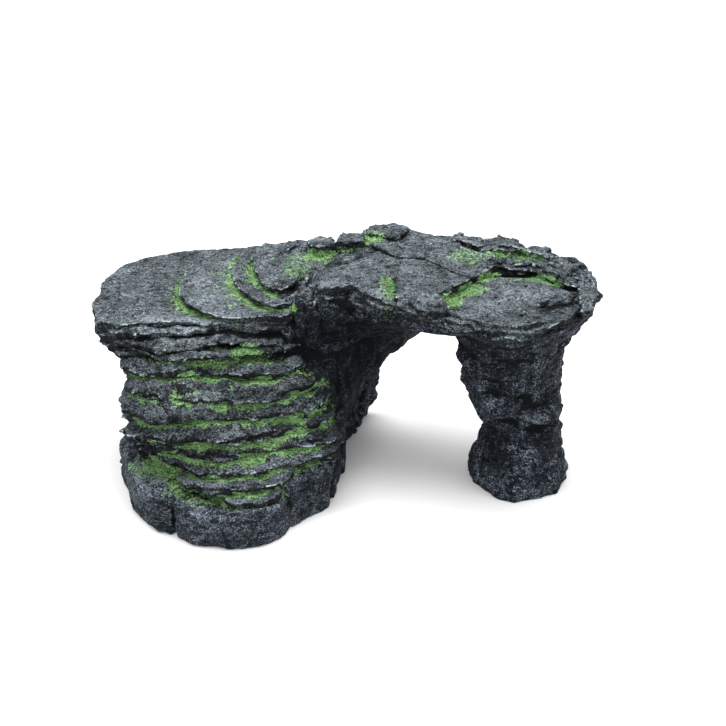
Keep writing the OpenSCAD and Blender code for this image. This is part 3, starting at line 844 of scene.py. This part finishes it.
# ------------------------------------------------------------------ paint
class Nodes:
    """Short calls for building a material's nodes."""

    def __init__(self, name):
        self.m = bpy.data.materials.new(name)
        self.m.use_nodes = True
        self.t = self.m.node_tree
        self.t.nodes.clear()

    def add(self, kind, **sockets):
        n = self.t.nodes.new(kind)
        for k, v in sockets.items():
            self.plug(n.inputs[k.replace("_", " ")], v)
        return n

    def plug(self, socket, v):
        if isinstance(v, bpy.types.NodeSocket):
            self.t.links.new(v, socket)
        else:
            socket.default_value = v

    def attr(self, name):
        n = self.t.nodes.new("ShaderNodeAttribute")
        n.attribute_name = name
        return n.outputs["Fac"]

    def noise(self, co, scale, detail, rough, distort=0.0):
        n = self.add("ShaderNodeTexNoise", Vector=co, Scale=scale, Detail=detail, Roughness=rough)
        n.inputs["Distortion"].default_value = distort
        return n.outputs["Fac"]

    def math(self, op, a, b=0.0):
        n = self.t.nodes.new("ShaderNodeMath")
        n.operation = op
        self.plug(n.inputs[0], a)
        self.plug(n.inputs[1], b)
        return n.outputs[0]

    def swing(self, v, gain):
        """A pattern around 0: its middle, 0.5, adds nothing."""
        return self.math("MULTIPLY", self.math("SUBTRACT", v, 0.5), gain)

    def thread(self, v, width):
        """Thin lines where a noise crosses its middle."""
        return self.ramp(self.math("ABSOLUTE", self.math("SUBTRACT", v, 0.5)), width, 0.0)

    def total(self, first, *terms):
        for v in terms:
            first = self.math("ADD", first, v)
        return first

    def scaled(self, co, scale):
        n = self.add("ShaderNodeMapping", Vector=co)
        n.inputs["Scale"].default_value = scale
        return n.outputs[0]

    def ramp(self, v, lo, hi, to=(0.0, 1.0)):
        n = self.t.nodes.new("ShaderNodeMapRange")
        n.interpolation_type = "SMOOTHSTEP"
        for k, x in zip(("Value", "From Min", "From Max", "To Min", "To Max"), (v, lo, hi, *to)):
            self.plug(n.inputs[k], x)
        return n.outputs[0]

    def mix(self, f, a, b):
        n = self.t.nodes.new("ShaderNodeMix")
        n.data_type = "RGBA"
        self.plug(n.inputs["Factor"], f)
        self.plug(n.inputs["A"], a)
        self.plug(n.inputs["B"], b)
        return n.outputs["Result"]

    def coats(self, v, colours):
        """Position and colour of each coat; the first two are the ends."""
        n = self.t.nodes.new("ShaderNodeValToRGB")
        self.plug(n.inputs[0], v)
        bar = n.color_ramp
        for k, (at, c) in enumerate(colours):
            e = bar.elements[k] if k < 2 else bar.elements.new(at)
            e.position, e.color = at, (*c, 1)
        return n.outputs[0]

    def finish(self, colour, roughness, specular, **sockets):
        sh = self.add("ShaderNodeBsdfPrincipled", Base_Color=colour, **sockets)
        sh.inputs["Roughness"].default_value = roughness
        sh.inputs["Specular IOR Level"].default_value = specular
        self.add("ShaderNodeOutputMaterial", Surface=sh.outputs[0])
        return self.m


# near black mixed into the hollows as painted shade
HOLLOW_SHADE = (0.004, 0.005, 0.005, 1)
GREEN_DARK = (0.022, 0.092, 0.026, 1)
GREEN_LIGHT = (0.45, 0.79, 0.32, 1)
GREEN_EDGE = (0.34, 0.58, 0.20, 1)


def patterns(n, web):
    """What every coat of a rock shares: brush strokes, grain, pits, edges and hollows."""
    t = {"co": n.t.nodes.new("ShaderNodeTexCoord").outputs["Object"]}
    co, flow = t["co"], n.scaled(t["co"], (0.8, 0.9, 1.25))
    normal = n.t.nodes.new("ShaderNodeNewGeometry").outputs["Normal"]
    t["z"] = n.add("ShaderNodeSeparateXYZ", Vector=normal).outputs["Z"]
    t["strands"] = n.noise(flow, 620, 2, 0.55, 1.6)
    t["worm"] = n.math("MULTIPLY", n.thread(n.noise(flow, 380, 2, 0.5, 1.3), 0.042), 1.2)
    strokes = n.math("MULTIPLY", n.ramp(t["strands"], 0.50, 0.58), 0.65)
    strokes = n.math("MAXIMUM", strokes, t["worm"])
    spread = n.ramp(n.noise(co, 140, 2, 0.5), 0.34, 0.62)
    strokes = n.math("MULTIPLY", strokes, n.ramp(spread, 0.0, 1.0, (0.4, 1.0)))
    wave = n.thread(n.noise(co, 250, 4, 0.65, 0.9), 0.028)
    t["strokes"] = n.math("MAXIMUM", strokes, n.math("MULTIPLY", wave, web))
    t["grain"] = n.noise(co, 1200, 3, 0.7)
    t["pits"] = n.ramp(n.noise(flow, 420, 3, 0.6), 0.45, 0.36)
    worn = n.ramp(n.noise(co, 330, 3, 0.6), 0.42, 0.56)
    t["edge"] = n.math("MULTIPLY", n.ramp(n.attr("edge"), 0.10, 0.22), worn)
    t["hollow"] = n.ramp(n.attr("hollow"), 0.02, 0.22)
    return t


def brushed(n, t, base, top_brush_and_light, bite, wear, streak):
    """How much grey has caught: more on strokes, edges and tops, less in pits and hollows; the lighter tops
    are partly painted top light.
    """
    up = n.ramp(t["z"], 0.25, 0.95)
    lines = n.noise(n.scaled(t["co"], (1.0, 1.0, 0.12)), 300, 4, 0.7)
    return n.total(
        n.math("MULTIPLY", t["strokes"], bite),
        n.swing(t["grain"], 1.4),
        n.swing(lines, streak),
        n.swing(n.noise(t["co"], 75, 3, 0.6), 0.6),
        n.math("MULTIPLY", t["edge"], wear),
        # tops lighter than sides: grey caught on them, and painted top light
        n.math("MULTIPLY", up, top_brush_and_light),
        # brushing zones: harder or lighter brushing, and painted shade in the cave and under the bridge
        n.math("MULTIPLY", n.attr("pale"), 0.22),
        n.math("MULTIPLY", t["hollow"], -0.35),
        base,
        n.math("MULTIPLY", t["pits"], -0.24),
    )


def sprayed(n, t, colour):
    """Green spray, broken by the grain, brightest where it catches on a ridge."""
    g = n.total(n.swing(n.noise(t["co"], 130, 4, 0.7), 1.6), n.swing(t["strands"], 1.8))
    g = n.ramp(n.math("ADD", n.attr("moss"), g), 0.2, 0.95)
    g = n.math("MULTIPLY", g, n.ramp(t["z"], -0.6, 0.0))
    g = n.math("MULTIPLY", g, n.ramp(n.attr("moss"), 0.06, 0.26))
    tint = n.math("ADD", n.math("MULTIPLY", t["strokes"], 0.5), n.math("MULTIPLY", t["grain"], 0.7))
    green = n.mix(n.ramp(tint, 0.22, 0.75), GREEN_DARK, GREEN_LIGHT)
    green = n.mix(n.math("MULTIPLY", t["edge"], 0.5), green, GREEN_EDGE)
    return n.mix(n.math("MULTIPLY", g, 0.82), colour, green)


def relief(n, t):
    """The fine relief under the paint."""
    height = n.total(
        t["strands"],
        n.math("MULTIPLY", t["grain"], 0.5),
        n.math("MULTIPLY", t["worm"], 0.22),
        n.math("MULTIPLY", t["pits"], -0.35),
    )
    bump = n.add("ShaderNodeBump", Height=height, Strength=1.0, Distance=0.0021)
    return bump.outputs[0]


def rock(name, colours, base, top_brush_and_light, bite, wear, web, streak=0.0):
    """Black base coat, grey dry brushing on whatever stands up, painted shade darkening the hollows, green
    spray in the gaps.
    """
    n = Nodes(name)
    t = patterns(n, web)
    colour = n.coats(brushed(n, t, base, top_brush_and_light, bite, wear, streak), colours)
    # painted shade: the hollows are darkened towards near black
    colour = n.mix(n.math("MULTIPLY", t["hollow"], 0.7), colour, HOLLOW_SHADE)
    return n.finish(sprayed(n, t, colour), roughness=0.75, specular=0.12, Normal=relief(n, t))


SLATE = ((0.0, (0.004, 0.005, 0.006)), (1.0, (0.55, 0.62, 0.68)), (0.25, (0.024, 0.029, 0.033)),
         (0.50, (0.118, 0.142, 0.157)), (0.75, (0.30, 0.35, 0.39)))
DARK = ((0.0, (0.0018, 0.0025, 0.0036)), (1.0, (0.43, 0.51, 0.61)), (0.32, (0.0065, 0.0090, 0.0130)),
        (0.55, (0.025, 0.033, 0.045)), (0.80, (0.155, 0.190, 0.240)))
BASE = ((0.0, (0.0026, 0.0036, 0.005)), (1.0, (0.50, 0.57, 0.66)), (0.28, (0.016, 0.021, 0.027)),
        (0.52, (0.072, 0.088, 0.110)), (0.76, (0.26, 0.31, 0.37)))
MATERIALS = {
    "slate": rock("painted_slate", SLATE, 0.03, 0.33, bite=0.38, wear=0.56, web=0.4),
    "dark_rock": rock("painted_dark_rock", DARK, 0.145, 0.10, bite=0.56, wear=0.46, web=1.1, streak=0.8),
    "base_rock": rock("painted_base_rock", BASE, 0.11, 0.15, bite=0.56, wear=0.52, web=1.0),
}
slots = {s["node"]: s["material_slot"] for s in frame["record"]["subparts"]}
for name, (b, d) in fields.items():
    ob = stone("stone_" + name, b, d)
    ob.data.materials.append(MATERIALS[slots[name]])
    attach(ob, "root")
    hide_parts(name)


# ------------------------------------------------------------------ floor, light, camera
def stage():
    me = bpy.data.meshes.new("floor")
    me.from_pydata([(-6, -6, 0), (6, -6, 0), (6, 6, 0), (-6, 6, 0)], [], [(0, 1, 2, 3)])
    white = Nodes("floor_white").finish((0.9, 0.9, 0.905, 1), roughness=0.45, specular=0.25)
    me.materials.append(white)
    show("floor", me)


def light(name, pos, size, power):
    """A soft lamp that looks at the part."""
    ld = bpy.data.lights.new(name, "AREA")
    ld.shape = "RECTANGLE"
    ld.size, ld.size_y = size
    ld.energy = power
    ob = show(name, ld)
    ob.location = pos
    ob.rotation_euler = (Vector((0, 0, 0.05)) - Vector(pos)).to_track_quat("-Z", "Y").to_euler()


def sky():
    world = bpy.data.worlds.new("studio")
    world.use_nodes = True
    background = world.node_tree.nodes["Background"]
    background.inputs["Color"].default_value = (1, 1, 1, 1)
    background.inputs["Strength"].default_value = 0.6
    bpy.context.scene.world = world


def camera():
    """From the front, 30 degrees down, 0.88 m from the point it looks at."""
    x, y, z = 0.0087, 0.028, 0.045
    down, far = math.radians(30), 0.88
    cd = bpy.data.cameras.new("camera")
    cd.lens, cd.sensor_width = 85, 36
    ob = show("camera", cd)
    ob.location = (x, y - far * math.cos(down), z + far * math.sin(down))
    ob.rotation_euler = (math.radians(90) - down, 0, 0)
    bpy.context.scene.camera = ob


stage()
light("top", (0.0, 0.15, 1.3), (1.2, 0.9), 24)
light("front", (-0.3, -1.5, 0.8), (0.9, 0.6), 9)
light("left", (-1.2, -0.4, 0.9), (0.8, 0.8), 4)
light("right", (1.2, -0.5, 0.6), (0.8, 0.6), 5)
sky()
bpy.context.scene.view_settings.view_transform = "Standard"
camera()
